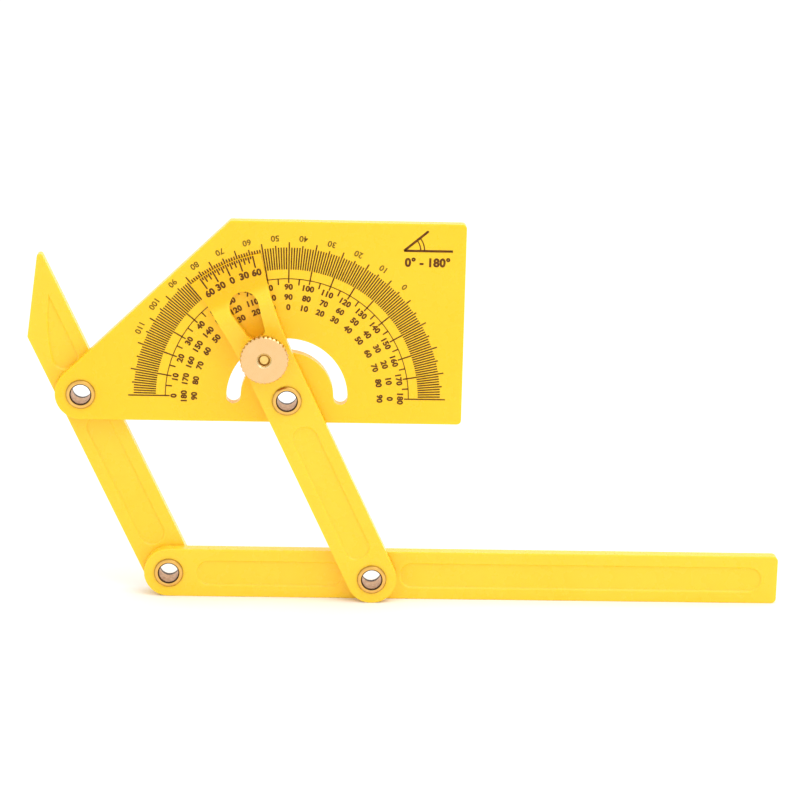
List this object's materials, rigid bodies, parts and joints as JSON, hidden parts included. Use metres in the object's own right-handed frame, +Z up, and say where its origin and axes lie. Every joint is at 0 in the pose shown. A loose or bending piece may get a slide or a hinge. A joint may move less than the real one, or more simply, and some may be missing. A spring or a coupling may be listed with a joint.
{
  "type": "sliding bevel",
  "caption": "Plastic sliding bevel with a protractor head, a long blade on parallel arms, a vernier arm clamped in a curved slot, and hollow brass pivots.",
  "frame": {"origin": "the protractor's centre, where the vernier arm pivots, at the middle of the head's thickness", "axes": "+X to the right along the blade, towards its square end; +Z up, from the blade to the protractor head; the printed front faces -Y"},
  "size_m": [0.2597, 0.0251, 0.1325],
  "materials": {
    "head_plastic": "moulded ABS, yellow, fine satin texture",
    "arm_plastic": "moulded ABS, yellow, satin",
    "eyelet_brass": "rolled brass, bright",
    "nut_brass": "turned brass, fine circular brushing, straight knurl",
    "screw_brass": "brass"
  },
  "bodies": {
    "protractor": {"protractor_head": "head_plastic", "eyelet_head_pointed_arm": "eyelet_brass", "eyelet_head_vernier_arm": "eyelet_brass"},
    "pointed_arm": {"pointed_arm": "arm_plastic"},
    "vernier_arm": {"vernier_arm": "arm_plastic", "clamp_screw": "screw_brass", "eyelet_blade_vernier_arm": "eyelet_brass"},
    "blade": {"long_blade": "arm_plastic", "eyelet_blade_pointed_arm": "eyelet_brass"},
    "thumb_nut": {"thumb_nut": "nut_brass"}
  },
  "joints": [
    {"name": "vernier_swing", "type": "hinge", "parent": "protractor", "child": "vernier_arm", "pos_m": [0, 0, 0], "axis": [0, -1, 0], "range_deg": [-101, 50]},
    {"name": "pointed_arm_swing", "type": "hinge", "parent": "protractor", "child": "pointed_arm", "pos_m": [-0.07, 0, 0], "axis": [0, -1, 0], "range_deg": [-101, 50]},
    {"name": "blade_hinge", "type": "hinge", "parent": "vernier_arm", "child": "blade", "pos_m": [0.03014, 0, -0.06318], "axis": [0, -1, 0], "range_deg": [-50, 101]},
    {"name": "thumb_nut_turn", "type": "hinge", "parent": "vernier_arm", "child": "thumb_nut", "pos_m": [-0.00783, -0.00995, 0.01643], "axis": [0, -1, 0], "continuous": true}
  ],
  "couplings": [
    {"joint": "pointed_arm_swing", "follows": "vernier_swing", "ratio": 1},
    {"joint": "blade_hinge", "follows": "vernier_swing", "ratio": -1}
  ]
}
